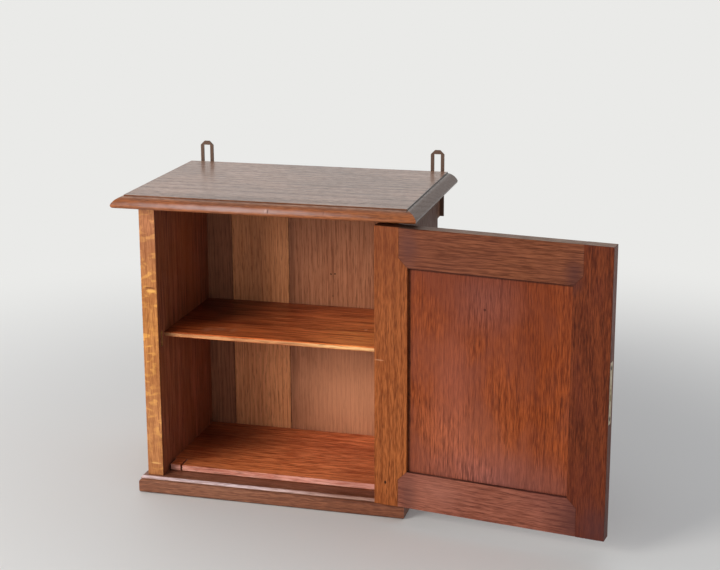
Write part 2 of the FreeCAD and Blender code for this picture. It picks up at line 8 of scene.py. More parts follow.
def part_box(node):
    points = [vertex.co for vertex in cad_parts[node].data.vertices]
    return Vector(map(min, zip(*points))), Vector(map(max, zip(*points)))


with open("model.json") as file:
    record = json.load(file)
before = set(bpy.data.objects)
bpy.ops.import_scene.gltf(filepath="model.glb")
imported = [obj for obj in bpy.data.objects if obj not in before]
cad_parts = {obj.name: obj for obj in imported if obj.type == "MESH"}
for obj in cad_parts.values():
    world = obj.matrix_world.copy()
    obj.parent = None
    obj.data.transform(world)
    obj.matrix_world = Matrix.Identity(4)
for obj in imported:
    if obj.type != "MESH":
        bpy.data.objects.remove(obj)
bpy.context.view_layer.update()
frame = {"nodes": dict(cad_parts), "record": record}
nodes = frame["nodes"]
print("frame loaded with", len(nodes), "pieces")

screenCurve = {"knee": 0.04045, "slope": 12.92, "lift": 0.055, "power": 2.4}


# screen values from 0 to 255, as a linear colour
def tone(red, green, blue):
    linear = []
    for value in (red, green, blue):
        part = value / 255
        if part <= screenCurve["knee"]:
            linear.append(part / screenCurve["slope"])
        else:
            linear.append(((part + screenCurve["lift"]) / (1 + screenCurve["lift"])) ** screenCurve["power"])
    return (*linear, 1.0)


# one node, with its sockets set or linked by name or number
def put(tree, kind, sockets=None, **settings):
    node = tree.nodes.new(kind)
    for name, value in settings.items():
        setattr(node, name, value)
    for name, value in (sockets or {}).items():
        if isinstance(value, bpy.types.NodeSocket):
            tree.links.new(value, node.inputs[name])
        else:
            node.inputs[name].default_value = value
    return node


def calc(tree, operation, first, second=0.0):
    return put(tree, "ShaderNodeMath", {0: first, 1: second}, operation=operation).outputs[0]


def times(tree, first, second):
    return calc(tree, "MULTIPLY", first, second)


def vectorCalc(tree, operation, first, second=(0.0, 0.0, 0.0)):
    node = put(tree, "ShaderNodeVectorMath", {0: first, 1: second}, operation=operation)
    return node.outputs["Value" if operation in ("LENGTH", "DOT_PRODUCT") else "Vector"]


def resize(tree, vector, size):
    node = put(tree, "ShaderNodeVectorMath", {0: vector, "Scale": size}, operation="SCALE")
    return node.outputs["Vector"]


# a smooth step from low to high as the value goes from start to end
def ramp(tree, value, start, end, low=0.0, high=1.0):
    sockets = {"Value": value, "From Min": start, "From Max": end, "To Min": low, "To Max": high}
    return put(tree, "ShaderNodeMapRange", sockets, interpolation_type="SMOOTHSTEP").outputs["Result"]


# the numbers of a Mix node's colour sockets
mixSocket = {"factor": 0, "first": 6, "second": 7, "result": 2}


def mixColour(tree, factor, first, second, blend="MIX"):
    sockets = {mixSocket["factor"]: factor, mixSocket["first"]: first, mixSocket["second"]: second}
    node = put(tree, "ShaderNodeMix", sockets, data_type="RGBA", blend_type=blend, clamp_result=True)
    return node.outputs[mixSocket["result"]]


def noise(tree, vector, scale, detail=2.0, roughness=0.5, distortion=0.0):
    sockets = {"Vector": vector, "Scale": scale, "Detail": detail, "Roughness": roughness,
               "Distortion": distortion}
    return put(tree, "ShaderNodeTexNoise", sockets).outputs


# noise on a stretched vector: a small Z draws it out along the grain
def longNoise(tree, vector, stretch, scale, **fineness):
    return noise(tree, vectorCalc(tree, "MULTIPLY", vector, stretch), scale, **fineness)


def startGroup(name, inputs, outputs):
    group = bpy.data.node_groups.new(name, "ShaderNodeTree")
    for label, kind, value in inputs:
        socket = group.interface.new_socket(label, in_out="INPUT", socket_type="NodeSocket" + kind)
        if value is not None:
            socket.default_value = value
    for label, kind in outputs:
        group.interface.new_socket(label, in_out="OUTPUT", socket_type="NodeSocket" + kind)
    return group, put(group, "NodeGroupInput").outputs, put(group, "NodeGroupOutput").inputs


oakFibre = {
    "middle": (0.5, 0.5, 0.5), "plainScale": 1.0, "plainDetail": 1.0,
    "bend": (9.0, 9.0, 2.2), "bendReach": 0.012, "ripple": (60.0, 60.0, 16.0), "rippleReach": 0.0004,
    "ringStretch": (1.0, 1.0, 0.06), "ringStart": (0.0, 0.15), "ringEnd": (0.65, 0.2),
    "streakStretch": (1.0, 1.0, 0.015), "streakBroad": 0.4, "streakRough": 0.55,
    "fineStretch": (1.0, 1.0, 0.03), "fineScale": 1800.0, "fineRough": 0.6,
    "dashShare": 0.52, "streakShare": 0.22, "fineShare": 0.26, "earlyShare": 0.04, "contrast": (0.34, 0.62),
    "poreStretch": (1.0, 1.0, 0.07), "poreScale": 900.0, "poreInEarly": 0.08, "poreRim": (0.58, 0.7),
    "fleckStretch": (1.0, 1.0, 1.8), "fleckScale": 85.0, "fleckTwist": 0.4, "fleckRim": (0.49, 0.66),
    "gatherScale": 24.0, "gatherRim": (0.35, 0.6), "gatherLeast": 0.35, "fibreHeight": 0.4,
}


# oak cut along Z of its own vector: fibres, growth rings, pores and ray flecks
def makeOakGrain(fibre):
    group, given, out = startGroup("oakGrain", [
        ("Vector", "Vector", None), ("Dark", "Color", None), ("Light", "Color", None),
        ("Pore Tone", "Color", None), ("Fleck Tone", "Color", None), ("Streak", "Float", 0.0016),
        ("Ring", "Float", 0.006), ("Figure", "Float", 1.0), ("Pores", "Float", 0.5),
        ("Flecks", "Float", 0.0), ("Shortness", "Float", 0.07),
    ], [("Color", "Color"), ("Streak", "Float"), ("Height", "Float")])
    vector = given["Vector"]
    plain = {"scale": fibre["plainScale"], "detail": fibre["plainDetail"]}
    swirl = longNoise(group, vector, fibre["bend"], **plain)["Color"]
    swirl = vectorCalc(group, "SUBTRACT", swirl, fibre["middle"])
    swirl = resize(group, swirl, times(group, given["Figure"], fibre["bendReach"]))
    ripple = longNoise(group, vector, fibre["ripple"], **plain)["Color"]
    ripple = resize(group, vectorCalc(group, "SUBTRACT", ripple, fibre["middle"]), fibre["rippleReach"])
    bent = vectorCalc(group, "ADD", vectorCalc(group, "ADD", vector, swirl), ripple)

    # growth rings about the heart of the tree, which lies at the vector's origin
    radius = vectorCalc(group, "LENGTH", vectorCalc(group, "MULTIPLY", bent, fibre["ringStretch"]))
    turn = calc(group, "FRACT", calc(group, "DIVIDE", radius, given["Ring"]))
    early = times(group, ramp(group, turn, *fibre["ringStart"]), ramp(group, turn, *fibre["ringEnd"]))

    # short dashes, long streaks and hair-fine fibres
    thin = calc(group, "DIVIDE", 1.0, given["Streak"])
    squeeze = put(group, "ShaderNodeCombineXYZ", {0: 1.0, 1: 1.0, 2: given["Shortness"]}).outputs[0]
    dash = longNoise(group, bent, squeeze, thin)["Fac"]
    broad = times(group, thin, fibre["streakBroad"])
    streak = longNoise(group, bent, fibre["streakStretch"], broad, roughness=fibre["streakRough"])["Fac"]
    fine = longNoise(group, bent, fibre["fineStretch"], fibre["fineScale"],
                     roughness=fibre["fineRough"])["Fac"]
    mixed = times(group, dash, fibre["dashShare"])
    mixed = calc(group, "ADD", mixed, times(group, streak, fibre["streakShare"]))
    mixed = calc(group, "ADD", mixed, times(group, fine, fibre["fineShare"]))
    mixed = calc(group, "SUBTRACT", mixed, times(group, early, fibre["earlyShare"]))
    shade = ramp(group, mixed, *fibre["contrast"])

    # open pores, thickest in the early wood
    pore = longNoise(group, bent, fibre["poreStretch"], fibre["poreScale"],
                     detail=fibre["plainDetail"])["Fac"]
    pore = calc(group, "ADD", pore, times(group, early, fibre["poreInEarly"]))
    pore = ramp(group, pore, *fibre["poreRim"])

    # pale ray flecks, short along the grain, gathered in some places
    fleck = longNoise(group, bent, fibre["fleckStretch"], fibre["fleckScale"], detail=fibre["plainDetail"],
                      distortion=fibre["fleckTwist"])["Fac"]
    gather = noise(group, vector, fibre["gatherScale"], fibre["plainDetail"])["Fac"]
    gather = ramp(group, gather, *fibre["gatherRim"], fibre["gatherLeast"])
    fleck = times(group, ramp(group, fleck, *fibre["fleckRim"]), gather)
    fleck = times(group, fleck, given["Flecks"])

    colour = mixColour(group, shade, given["Dark"], given["Light"])
    colour = mixColour(group, fleck, colour, given["Fleck Tone"])
    colour = mixColour(group, times(group, pore, given["Pores"]), colour, given["Pore Tone"])
    group.links.new(colour, out["Color"])
    group.links.new(shade, out["Streak"])
    height = calc(group, "SUBTRACT", times(group, shade, fibre["fibreHeight"]), pore)
    group.links.new(height, out["Height"])
    return group


stainCloud = {"stretch": (1.0, 1.0, 0.5), "detail": 3.0, "rough": 0.55, "twist": 0.4, "rim": (0.38, 0.66)}


# broad uneven patches of an old stain
def makeStain(cloud):
    group, given, out = startGroup("oldStain", [
        ("Vector", "Vector", None), ("Color", "Color", None), ("Stain", "Color", None),
        ("Size", "Float", 0.08), ("Amount", "Float", 0.5),
    ], [("Color", "Color")])
    scale = calc(group, "DIVIDE", 1.0, given["Size"])
    patch = longNoise(group, given["Vector"], cloud["stretch"], scale, detail=cloud["detail"],
                      roughness=cloud["rough"], distortion=cloud["twist"])["Fac"]
    patch = ramp(group, patch, *cloud["rim"])
    colour = mixColour(group, times(group, patch, given["Amount"]), given["Color"], given["Stain"])
    group.links.new(colour, out["Color"])
    return group


edgeRub = {
    "samples": 6, "arrisSamples": 4, "edge": (0.995, 0.8), "rubScale": 120.0, "rubDetail": 4.0, "rough": 0.6,
    "rubLow": 0.6, "rubHigh": 0.75, "cornerReach": 0.02, "corner": (0.62, 0.12), "dirtScale": 70.0,
    "dirtDetail": 3.0, "dirtRim": (0.2, 0.6),
}


# rubbed outer edges, dark corners of dirt and painted shade, and a slightly rounded arris
def makeEdgeWear(rub):
    group, given, out = startGroup("edgeWear", [
        ("Vector", "Vector", None), ("Width", "Float", 0.003), ("Patchiness", "Float", 0.6),
        ("Arris", "Float", 0.0008),
    ], [("Wear", "Float"), ("Grime And Shade", "Float"), ("Normal", "Vector")])
    wide = put(group, "ShaderNodeBevel", {"Radius": given["Width"]}, samples=rub["samples"])
    plain = put(group, "ShaderNodeNewGeometry")
    edge = vectorCalc(group, "DOT_PRODUCT", wide.outputs["Normal"], plain.outputs["Normal"])
    edge = ramp(group, edge, *rub["edge"])
    worn = noise(group, given["Vector"], rub["rubScale"], rub["rubDetail"], rub["rough"])["Fac"]
    worn = ramp(group, worn, times(group, given["Patchiness"], rub["rubLow"]), rub["rubHigh"])
    group.links.new(times(group, edge, worn), out["Wear"])
    # enclosed corners darkened: partly dirt, partly painted shade
    reach = {"Distance": rub["cornerReach"]}
    corner = put(group, "ShaderNodeAmbientOcclusion", reach, samples=rub["samples"]).outputs["AO"]
    corner = ramp(group, corner, *rub["corner"])
    dirt = noise(group, given["Vector"], rub["dirtScale"], rub["dirtDetail"], rub["rough"])["Fac"]
    group.links.new(times(group, corner, ramp(group, dirt, *rub["dirtRim"])), out["Grime And Shade"])
    arris = put(group, "ShaderNodeBevel", {"Radius": given["Arris"]}, samples=rub["arrisSamples"])
    group.links.new(arris.outputs["Normal"], out["Normal"])
    return group


markRim = {"detail": 2.0, "reach": 0.6}


# one soft-edged mark at a place on a piece
def makeMark(rim):
    group, given, out = startGroup("oneMark", [
        ("Vector", "Vector", None), ("Centre", "Vector", None), ("Size", "Vector", None),
        ("Ragged", "Float", 900.0), ("Softness", "Float", 0.3),
    ], [("Mask", "Float")])
    away = vectorCalc(group, "SUBTRACT", given["Vector"], given["Centre"])
    away = vectorCalc(group, "LENGTH", vectorCalc(group, "DIVIDE", away, given["Size"]))
    ragged = noise(group, given["Vector"], given["Ragged"], rim["detail"])["Fac"]
    distance = calc(group, "ADD", away, times(group, ragged, rim["reach"]))
    outer = calc(group, "ADD", given["Softness"], 1.0)
    inner = calc(group, "SUBTRACT", 1.0, given["Softness"])
    group.links.new(ramp(group, distance, outer, inner), out["Mask"])
    return group


groups = {"grain": makeOakGrain(oakFibre), "stain": makeStain(stainCloud), "wear": makeEdgeWear(edgeRub),
          "mark": makeMark(markRim)}
print("shader groups made:", ", ".join(sorted(groups)))


def place(tree, group, sockets):
    return put(tree, "ShaderNodeGroup", sockets, node_tree=groups[group]).outputs


def newMaterial(name):
    material = bpy.data.materials.new(name)
    material.use_nodes = True
    tree = material.node_tree
    return material, tree, tree.nodes["Principled BSDF"]


def dress(names, material):
    for name in names:
        nodes[name].data.materials.clear()
        nodes[name].data.materials.append(material)


# a mark's middle, its reach each way, its colour and its strength;
# "ragged" is the noise scale at its rim, and "soft" says how far it fades
def spot(centre, size, colour, amount, ragged=900.0, soft=0.3, blend="MIX"):
    return {"centre": centre, "size": size, "colour": colour, "amount": amount, "ragged": ragged,
            "soft": soft, "blend": blend}


# a broad mark that keeps the grain, because it multiplies the colour under it; it gives tints of the wood
# and also painted light and shade
def tintAndShading(centre, size, red, green, blue, amount=1.0, ragged=25.0, soft=0.8):
    return spot(centre, size, (red, green, blue, 1.0), amount, ragged, soft, "MULTIPLY")


def addMarks(tree, position, colour, marks):
    for mark in marks:
        sockets = {"Vector": position, "Centre": mark["centre"], "Size": mark["size"],
                   "Ragged": mark["ragged"], "Softness": mark["soft"]}
        mask = times(tree, place(tree, "mark", sockets)["Mask"], mark["amount"])
        colour = mixColour(tree, mask, colour, mark["colour"], mark["blend"])
    return colour


alongX = (1, 0, 0)
upward = (0, 0, 1)
toLeft = (-1, 0, 0)
toRight = (1, 0, 0)
toFront = (0, -1, 0)

# what every oak piece has unless its own dictionary says otherwise; "faces" lists the sides with
# another colour: "toward" is where they look, "spread" how nearly, and "above" leaves out what is lower
oakPlain = {
    "along": upward, "heart": (0.07, 0.02, 0.0), "dark": tone(104, 56, 30), "light": tone(150, 90, 54),
    "streak": 0.00085, "shortness": 0.07, "ring": 0.006, "figure": 1.0,
    "poreTone": tone(58, 28, 16), "pores": 0.35, "fleckTone": tone(196, 140, 92), "flecks": 0.0,
    "stain": tone(92, 40, 22), "stainAmount": 0.35, "stainSize": 0.09,
    "wearTone": tone(196, 146, 110), "wear": 0.5, "wearWidth": 0.0022, "patchiness": 0.6, "wornRough": 0.15,
    "grimeAndShadeTone": tone(34, 16, 10), "grimeAndShade": 0.6, "roughLow": 0.36, "roughHigh": 0.52, "specular": 0.2,
    "coat": 0.0, "coatRough": 0.3, "coatSpread": (0.6, 1.2), "coatFlat": (0.9, 0.99), "coatOnSides": 0.25,
    "bump": 0.25, "bumpDepth": 0.0003, "spread": (0.86, 0.97), "aboveFade": 0.0004, "faces": [], "marks": [],
}


def grainColour(tree, space, look):
    return place(tree, "grain", {
        "Vector": space, "Dark": look["dark"], "Light": look["light"], "Pore Tone": look["poreTone"],
        "Fleck Tone": look["fleckTone"], "Streak": look["streak"], "Ring": look["ring"],
        "Figure": look["figure"], "Pores": look["pores"], "Flecks": look["flecks"],
        "Shortness": look["shortness"],
    })


def oakMaterial(name, changes):
    look = {**oakPlain, **changes}
    material, tree, shader = newMaterial(name)
    where = put(tree, "ShaderNodeTexCoord").outputs
    turn = Vector(look["along"]).rotation_difference(Vector(upward)).to_euler()
    sockets = {"Vector": where["Object"], "Rotation": turn, "Location": look["heart"]}
    space = put(tree, "ShaderNodeMapping", sockets).outputs["Vector"]
    grain = grainColour(tree, space, look)
    colour = grain["Color"]
    for face in look["faces"]:
        side = {**look, **face}
        other = grainColour(tree, space, side)
        toward = vectorCalc(tree, "DOT_PRODUCT", where["Normal"], side["toward"])
        share = ramp(tree, toward, *side["spread"])
        if "above" in side:
            height = put(tree, "ShaderNodeSeparateXYZ", {0: where["Object"]}).outputs["Z"]
            start = side["above"] - side["aboveFade"]
            share = times(tree, share, ramp(tree, height, start, side["above"]))
        colour = mixColour(tree, share, colour, other["Color"])
    sockets = {"Vector": space, "Color": colour, "Stain": look["stain"], "Size": look["stainSize"],
               "Amount": look["stainAmount"]}
    colour = place(tree, "stain", sockets)["Color"]
    colour = addMarks(tree, where["Object"], colour, look["marks"])
    sockets = {"Vector": where["Object"], "Width": look["wearWidth"], "Patchiness": look["patchiness"]}
    rub = place(tree, "wear", sockets)
    # dirt and painted shade in the enclosed corners
    colour = mixColour(tree, times(tree, rub["Grime And Shade"], look["grimeAndShade"]), colour, look["grimeAndShadeTone"])
    worn = times(tree, rub["Wear"], look["wear"])
    colour = mixColour(tree, worn, colour, look["wearTone"])
    tree.links.new(colour, shader.inputs["Base Color"])
    rough = ramp(tree, grain["Streak"], 0.0, 1.0, look["roughHigh"], look["roughLow"])
    rough = calc(tree, "ADD", rough, times(tree, worn, look["wornRough"]))
    tree.links.new(rough, shader.inputs["Roughness"])
    shader.inputs["Specular IOR Level"].default_value = look["specular"]
    # polish, thinner on the faces that don't look up
    if look["coat"]:
        least, most = (look["coat"] * part for part in look["coatSpread"])
        gloss = ramp(tree, grain["Streak"], 0.0, 1.0, least, most)
        level = vectorCalc(tree, "DOT_PRODUCT", where["Normal"], upward)
        gloss = times(tree, gloss, ramp(tree, level, *look["coatFlat"], look["coatOnSides"]))
        tree.links.new(gloss, shader.inputs["Coat Weight"])
    shader.inputs["Coat Roughness"].default_value = look["coatRough"]
    sockets = {"Strength": look["bump"], "Distance": look["bumpDepth"], "Height": grain["Height"],
               "Normal": rub["Normal"]}
    bump = put(tree, "ShaderNodeBump", sockets)
    tree.links.new(bump.outputs["Normal"], shader.inputs["Normal"])
    return material


# places that the marks share, most of them from the frame
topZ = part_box("top_board")[1][2]
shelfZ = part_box("shelf_board")[1][2]
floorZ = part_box("floor_board")[1][2]
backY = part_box("back_board_2")[0][1]
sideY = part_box("left_side")[0][1]
noseY = -0.14  # just behind the tip of the top's nose

topBoard = {
    "along": alongX, "heart": (0.02, 0.16, 0.0), "streak": 0.0007, "figure": 0.6,
    "dark": tone(112, 58, 28), "light": tone(172, 100, 54), "stain": tone(86, 60, 48),
    "wearTone": tone(186, 140, 118), "wear": 0.3, "wearWidth": 0.002,
    "coat": 0.62, "coatRough": 0.2, "specular": 0.35,
    "faces": [
        # the upper face greyer and paler, partly a painted reflection of the bright wall
        {"toward": upward, "dark": tone(106, 70, 51), "light": tone(186, 142, 115), "pores": 0.65},
        # the right end darker, painted shade
        {"toward": toRight, "spread": (0.04, 0.3), "dark": tone(76, 49, 36), "light": tone(106, 75, 59)},
    ],
    "marks": [
        # a pale band on the nose, partly worn polish and partly a painted highlight, and painted shade in
        # the quirks behind it
        spot((-0.04, noseY, 0.405), (0.17, 0.01, 0.0034), tone(198, 172, 168), 0.55, ragged=60.0, soft=0.6),
        spot((0.1888, 0.0, 0.4135), (0.0016, 0.9, 0.003), tone(40, 28, 22), 0.9),
        spot((0.0, -0.1268, 0.4132), (0.9, 0.001, 0.0022), tone(62, 34, 22), 0.6),
        # a dent with a dark rim, and a small crack
        spot((0.0082, noseY, 0.406), (0.0018, 0.004, 0.004), tone(200, 168, 158), 0.6),
        spot((0.0115, noseY, 0.406), (0.001, 0.004, 0.006), tone(60, 28, 20), 0.7),
        spot((0.084, noseY, 0.4075), (0.0008, 0.004, 0.005), tone(66, 32, 22), 0.5),
        # a paler left half, a painted reflection, and two dark figures in the wood
        tintAndShading((-0.12, -0.02, topZ), (0.13, 0.15, 0.01), 1.3, 1.34, 1.4),
        spot((0.0238, -0.0385, topZ), (0.03, 0.0035, 0.003), tone(70, 48, 40), 0.5, ragged=260.0, soft=0.6),
        spot((-0.0597, -0.038, topZ), (0.018, 0.0022, 0.003), tone(70, 48, 40), 0.5, ragged=260.0, soft=0.6),
    ],
}
dress(["top_board"], oakMaterial("oakTop", topBoard))

baseBoard = {
    "along": alongX, "heart": (0.03, 0.11, 0.2), "dark": tone(98, 54, 36), "light": tone(146, 90, 62),
    "wearTone": tone(178, 136, 116), "wear": 0.35, "wearWidth": 0.0016, "specular": 0.4,
    # the sloped round on top painted pale: partly worn polish, partly a painted highlight
    "faces": [{"toward": (0, -0.7, 0.7), "spread": (0.8, 0.94), "above": 0.0195,
               "dark": tone(176, 136, 126), "light": tone(218, 186, 178)}],
    "marks": [
        # paler and greyer at the left of the front
        tintAndShading((-0.09, -0.12, 0.01), (0.13, 0.03, 0.03), 1.26, 1.55, 1.8),
        # the pale round dimmed towards the right, painted shade
        tintAndShading((0.12, -0.12, 0.022), (0.09, 0.03, 0.006), 0.62, 0.5, 0.42),
    ],
}
dress(["base_board"], oakMaterial("oakBase", baseBoard))

outsideTone = {"dark": tone(116, 70, 42), "light": tone(160, 104, 66), "flecks": 0.16,
               "fleckTone": tone(184, 128, 82)}
insideTone = {"dark": tone(84, 44, 30), "light": tone(180, 111, 84), "flecks": 0.0, "streak": 0.0022,
              "shortness": 0.03}
leftSide = {
    "heart": (0.26, 0.02, 0.0), "dark": tone(156, 98, 57), "light": tone(202, 137, 85),
    "flecks": 0.8, "fleckTone": tone(226, 164, 92), "poreTone": tone(104, 56, 28),
    "stain": tone(138, 78, 42), "stainAmount": 0.5, "stainSize": 0.03, "wear": 0.3,
    "faces": [{"toward": toRight, **insideTone}, {"toward": toLeft, **outsideTone}],
    "marks": [
        # knots of figure on the front edge
        spot((-0.1625, sideY, 0.2871), (0.0085, 0.003, 0.0014), tone(92, 50, 26), 0.8),
        spot((-0.1615, sideY, 0.283), (0.0085, 0.003, 0.003), tone(238, 180, 102), 0.7),
        spot((-0.163, sideY, 0.0405), (0.0095, 0.003, 0.0013), tone(232, 180, 112), 0.7),
        # yellower at half height, greyer at the top, redder inside
        tintAndShading((-0.165, sideY, 0.23), (0.04, 0.01, 0.09), 1.02, 0.98, 0.74),
        tintAndShading((-0.165, sideY, 0.38), (0.04, 0.01, 0.07), 0.9, 0.88, 1.1),
        spot((-0.153, -0.01, 0.32), (0.004, 0.05, 0.09), tone(160, 86, 40), 0.5, ragged=40.0, soft=0.8),
    ],
}
dress(["left_side"], oakMaterial("oakLeftSide", leftSide))
rightSide = {
    "heart": (-0.1, 0.05, 0.3), "dark": tone(146, 88, 48), "light": tone(190, 124, 72),
    "flecks": 0.5, "fleckTone": tone(220, 158, 90), "specular": 0.03,
    "faces": [
        {"toward": toLeft, **insideTone},
        # the outer face darker than the left side's, painted shade
        {"toward": toRight, **outsideTone, "dark": tone(74, 45, 32), "light": tone(106, 73, 54),
         "fleckTone": tone(128, 92, 70)},
    ],
}
dress(["right_side"], oakMaterial("oakRightSide", rightSide))


def scuff(centre, size, colour=tone(222, 152, 114), amount=0.4, ragged=320.0, soft=0.5):
    return spot(centre, size, colour, amount, ragged, soft)


# the shelf and the floor are one red wood
redBoard = {
    "along": alongX, "heart": (0.02, 0.09, 0.4), "dark": tone(132, 52, 22), "light": tone(236, 124, 64),
    "streak": 0.003, "shortness": 0.05, "ring": 0.014, "stain": tone(126, 46, 22),
    "wearTone": tone(226, 158, 104), "wear": 0.8, "coat": 0.35, "coatRough": 0.22,
    "roughLow": 0.3, "roughHigh": 0.44,
}
shelfBoard = {
    **redBoard,
    "faces": [{"toward": toFront, "dark": tone(186, 118, 72), "light": tone(228, 164, 110)}],
    "marks": [
        scuff((-0.1, -0.068, shelfZ), (0.009, 0.012, 0.004)),
        scuff((-0.083, -0.062, shelfZ), (0.011, 0.009, 0.004)),
        scuff((-0.065, -0.064, shelfZ), (0.006, 0.011, 0.004)),
        scuff((0.1077, -0.0185, shelfZ), (0.003, 0.0045, 0.004)),
        # painted shade at the left and along the rear, painted light at the right
        tintAndShading((-0.14, 0.05, shelfZ), (0.132, 0.13, 0.01), 0.13, 0.07, 0.1),
        tintAndShading((-0.156, -0.1, 0.219), (0.02, 0.07, 0.02), 0.3, 0.25, 0.25),
        tintAndShading((0.115, -0.03, shelfZ), (0.09, 0.12, 0.01), 1.7, 2.3, 2.4),
        tintAndShading((0.02, 0.08, shelfZ), (0.09, 0.035, 0.01), 0.7, 0.6, 0.54),
    ],
}
dress(["shelf_board"], oakMaterial("oakShelf", shelfBoard))
floorBoard = {
    **redBoard, "heart": (0.015, 0.12, 0.9), "streak": 0.0024, "shortness": 0.09,
    "dark": tone(166, 74, 36), "light": tone(250, 148, 88), "wearTone": tone(226, 168, 148),
    "faces": [{"toward": toFront, "dark": tone(196, 122, 102), "light": tone(236, 174, 156)}],
    "marks": [
        # painted light at the right, painted shade at the rear left
        tintAndShading((0.09, 0.02, floorZ), (0.13, 0.14, 0.01), 1.3, 1.3, 1.4),
        tintAndShading((-0.15, 0.04, floorZ), (0.12, 0.11, 0.01), 0.24, 0.18, 0.18),
    ],
}
dress(["floor_board", "floor_corner_block"], oakMaterial("oakFloor", floorBoard))

# the back boards differ in colour, with a dark line at each seam
backPlain = {
    "streak": 0.0011, "shortness": 0.02, "figure": 0.4, "stain": tone(112, 66, 44), "stainAmount": 0.25,
    "wearTone": tone(44, 22, 14), "wear": 0.85, "wearWidth": 0.0018, "patchiness": 0.1,
    "roughLow": 0.5, "roughHigh": 0.62,
}
backBoards = [
    {"heart": (0.3, -0.02, 0.1), "dark": tone(118, 72, 50), "light": tone(154, 100, 70)},
    {"heart": (0.2, -0.05, 0.5), "dark": tone(178, 113, 72), "light": tone(210, 143, 96), "marks": [
        # brighter low down, painted light
        tintAndShading((-0.07, backY, 0.12), (0.06, 0.02, 0.11), 1.18, 1.18, 1.18),
    ]},
    {"heart": (0.12, -0.06, 1.1), "dark": tone(138, 86, 60), "light": tone(176, 117, 84), "marks": [
        # a pale pool at the lower right, painted light
        spot((0.06, backY, 0.09), (0.1, 0.02, 0.1), tone(222, 158, 118), 0.5, ragged=20.0, soft=0.8),
        # small holes, with a dark streak above them
        spot((0.0305, backY, 0.2683), (0.0018, 0.004, 0.0016), tone(40, 20, 14), 0.9),
        spot((0.0364, backY, 0.2687), (0.0018, 0.004, 0.0016), tone(40, 20, 14), 0.9),
        spot((0.0332, backY, 0.2363), (0.0014, 0.004, 0.0014), tone(60, 32, 22), 0.7),
        spot((0.0335, backY, 0.29), (0.002, 0.004, 0.05), tone(96, 52, 34), 0.5, soft=0.6),
        # darker beside the seam
        spot((-0.0265, backY, 0.22), (0.006, 0.004, 0.3), tone(112, 70, 50), 0.5, ragged=60.0, soft=0.6),
    ]},
    {"heart": (0.05, -0.07, 1.7), "dark": tone(140, 90, 64), "light": tone(184, 126, 92)},
]
for number, board in enumerate(backBoards, 1):
    dress(["back_board_%d" % number], oakMaterial("oakBack%d" % number, {**backPlain, **board}))

rearRails = {"along": alongX, "heart": (0.05, 0.1, 0.7), "dark": tone(96, 66, 48),
             "light": tone(140, 102, 78), "roughLow": 0.55, "roughHigh": 0.7}
dress(["upper_rear_rail", "lower_rear_rail"], oakMaterial("oakRail", rearRails))

# the door stands open, and swings this much further until it is flat
swing = next(joint for joint in frame["record"]["behaviour"]["joints"] if joint["name"] == "door_swing")
doorAngle = math.radians(swing["range_deg"][1])
doorAlong = (math.cos(doorAngle), -math.sin(doorAngle), 0.0)
doorOutward = (math.sin(doorAngle), math.cos(doorAngle), 0.0)


# old polish gathered at the ends of the rails and stiles
def endHaze(centre, size, colour=tone(92, 56, 50), amount=0.65, ragged=60.0, soft=0.75):
    return spot(centre, size, colour, amount, ragged, soft)


# door pieces share dark, hardly worn edges, so that their joints show as fine lines
doorPlain = {
    "specular": 0.14, "wearTone": tone(52, 24, 16), "wear": 0.75, "wearWidth": 0.0014, "patchiness": 0.2,
    # the upper faces pale, a painted reflection
    "faces": [{"toward": upward, "dark": tone(118, 90, 74), "light": tone(158, 130, 110)}],
}
hingeStile = {
    **doorPlain, "heart": (-0.1, 0.2, 0.1), "dark": tone(108, 51, 20), "light": tone(172, 98, 50),
    "stain": tone(120, 56, 26), "stainAmount": 0.25,
    # the top end dark, a painted shadow under the top board
    "faces": [{"toward": upward, "dark": tone(30, 18, 14), "light": tone(52, 33, 26)}],
    "marks": [
        # a hole with a crack below it
        spot((0.1647, -0.1423, 0.0579), (0.0022, 0.004, 0.003), tone(30, 14, 9), 0.95),
        spot((0.1665, -0.1425, 0.045), (0.0009, 0.004, 0.0065), tone(70, 34, 18), 0.6),
        # a darker upper end, painted shade, and a pale scratch at half height
        spot((0.167, -0.143, 0.41), (0.04, 0.03, 0.17), tone(104, 52, 32), 0.6, ragged=30.0, soft=0.7),
        spot((0.1561, -0.141, 0.2213), (0.009, 0.004, 0.0012), tone(206, 150, 112), 0.4),
    ],
}
dress(["door_hinge_stile"], oakMaterial("oakHingeStile", hingeStile))
lockStile = {
    # darker than the other door pieces, partly its own tone, partly painted shade; the outer face keeps a
    # lighter tone
    **doorPlain, "heart": (-0.4, 0.22, 0.6), "dark": tone(68, 24, 10), "light": tone(120, 57, 28),
    "stain": tone(92, 40, 30), "stainAmount": 0.5,
    "faces": [
        *doorPlain["faces"],
        {"toward": doorOutward, "dark": tone(98, 44, 20), "light": tone(140, 74, 38)},
    ],
    "marks": [
        endHaze((0.44, -0.1853, 0.04), (0.036, 0.02, 0.036), tone(80, 46, 46)),
        endHaze((0.402, -0.1785, 0.35), (0.012, 0.02, 0.018), tone(60, 32, 32)),
    ],
}
dress(["door_lock_stile"], oakMaterial("oakLockStile", lockStile))
doorRail = {**doorPlain, "along": doorAlong, "streak": 0.00075, "shortness": 0.035}
topRail = {
    **doorRail, "heart": (-0.3, 0.13, 0.2), "dark": tone(80, 38, 20), "light": tone(134, 78, 51),
    "stain": tone(106, 60, 48),
    "marks": [
        endHaze((0.1943, -0.1469, 0.3703), (0.014, 0.02, 0.03)),
        # a painted shadow on the top end, under the top board
        tintAndShading((0.195, -0.14, 0.395), (0.04, 0.04, 0.0012), 0.2, 0.2, 0.2),
        endHaze((0.402, -0.1785, 0.356), (0.013, 0.02, 0.022), tone(66, 36, 36)),
    ],
}
dress(["door_top_rail"], oakMaterial("oakTopRail", topRail))
